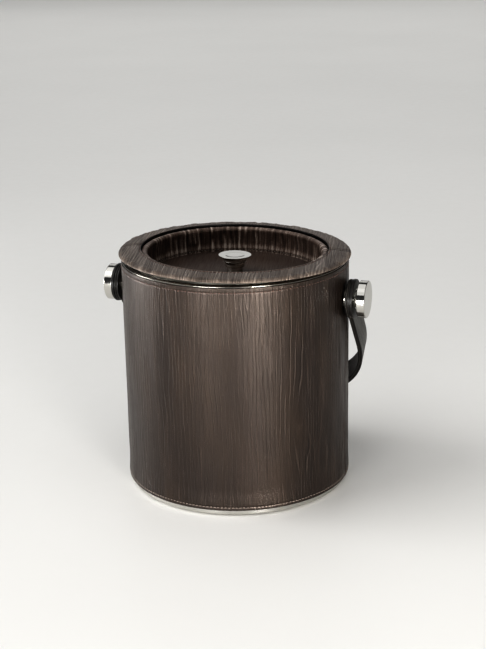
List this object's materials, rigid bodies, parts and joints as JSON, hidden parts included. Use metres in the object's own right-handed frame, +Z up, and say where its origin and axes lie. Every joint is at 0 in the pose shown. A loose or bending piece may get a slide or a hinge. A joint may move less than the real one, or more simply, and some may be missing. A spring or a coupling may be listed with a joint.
{
  "type": "ice bucket",
  "caption": "Insulated round ice bucket wrapped in grained leather, with a recessed lift-off lid, a metal lid knob and a leather strap handle on side studs.",
  "frame": {"origin": "centre of the pad's underside, on the surface that the bucket stands on", "axes": "+Z up along the bucket's axis, +X through the right-hand stud, +Y to the rear, where the strap handle hangs"},
  "size_m": [0.24, 0.224, 0.2148],
  "materials": {
    "leather_grained": "satin",
    "leather_smooth": "satin",
    "leather_lining": "satin",
    "chrome": "polished",
    "polished_steel": "polished",
    "brushed_steel": "satin",
    "felt": "matte",
    "foam": "matte",
    "tray_plastic": "matte",
    "gasket_silicone": "satin"
  },
  "bodies": {
    "bucket": {"base_pad": "felt", "base_cap": "polished_steel", "outer_shell": "brushed_steel", "leather_wrap_front": "leather_grained", "leather_wrap_rear": "leather_grained", "inner_liner": "brushed_steel", "rim_ring": "chrome", "insulation_sleeve": "foam", "insulation_disc": "foam", "stud_post_right": "chrome", "side_knob_right": "chrome", "stud_seat_washer_right": "polished_steel", "stud_inner_washer_right": "brushed_steel", "stud_nut_right": "brushed_steel", "stud_post_left": "chrome", "side_knob_left": "chrome", "stud_seat_washer_left": "polished_steel", "stud_inner_washer_left": "brushed_steel", "stud_nut_left": "brushed_steel"},
    "handle": {"strap_outer": "leather_grained", "strap_lining": "leather_lining", "strap_end_disc_right": "leather_grained", "strap_end_disc_left": "leather_grained", "strap_eyelet_right": "polished_steel", "strap_eyelet_left": "polished_steel"},
    "lid": {"lid_ring_leather_front": "leather_grained", "lid_ring_leather_rear": "leather_grained", "lid_pan": "brushed_steel", "lid_gasket": "gasket_silicone", "lid_tray": "tray_plastic", "lid_wall_leather": "leather_grained", "lid_floor_leather": "leather_smooth", "lid_insulation_ring": "foam", "lid_insulation_disc": "foam", "lid_knob": "chrome", "lid_knob_screw": "brushed_steel", "lid_knob_washer": "brushed_steel"}
  },
  "joints": [
    {"name": "handle_swing", "type": "hinge", "parent": "bucket", "child": "handle", "pos_m": [0, 0, 0.1733], "axis": [1, 0, 0], "range_deg": [0, 278]},
    {"name": "lid_lift", "type": "slide", "parent": "bucket", "child": "lid", "axis": [0, 0, 1], "range_m": [0, 0.06]}
  ]
}
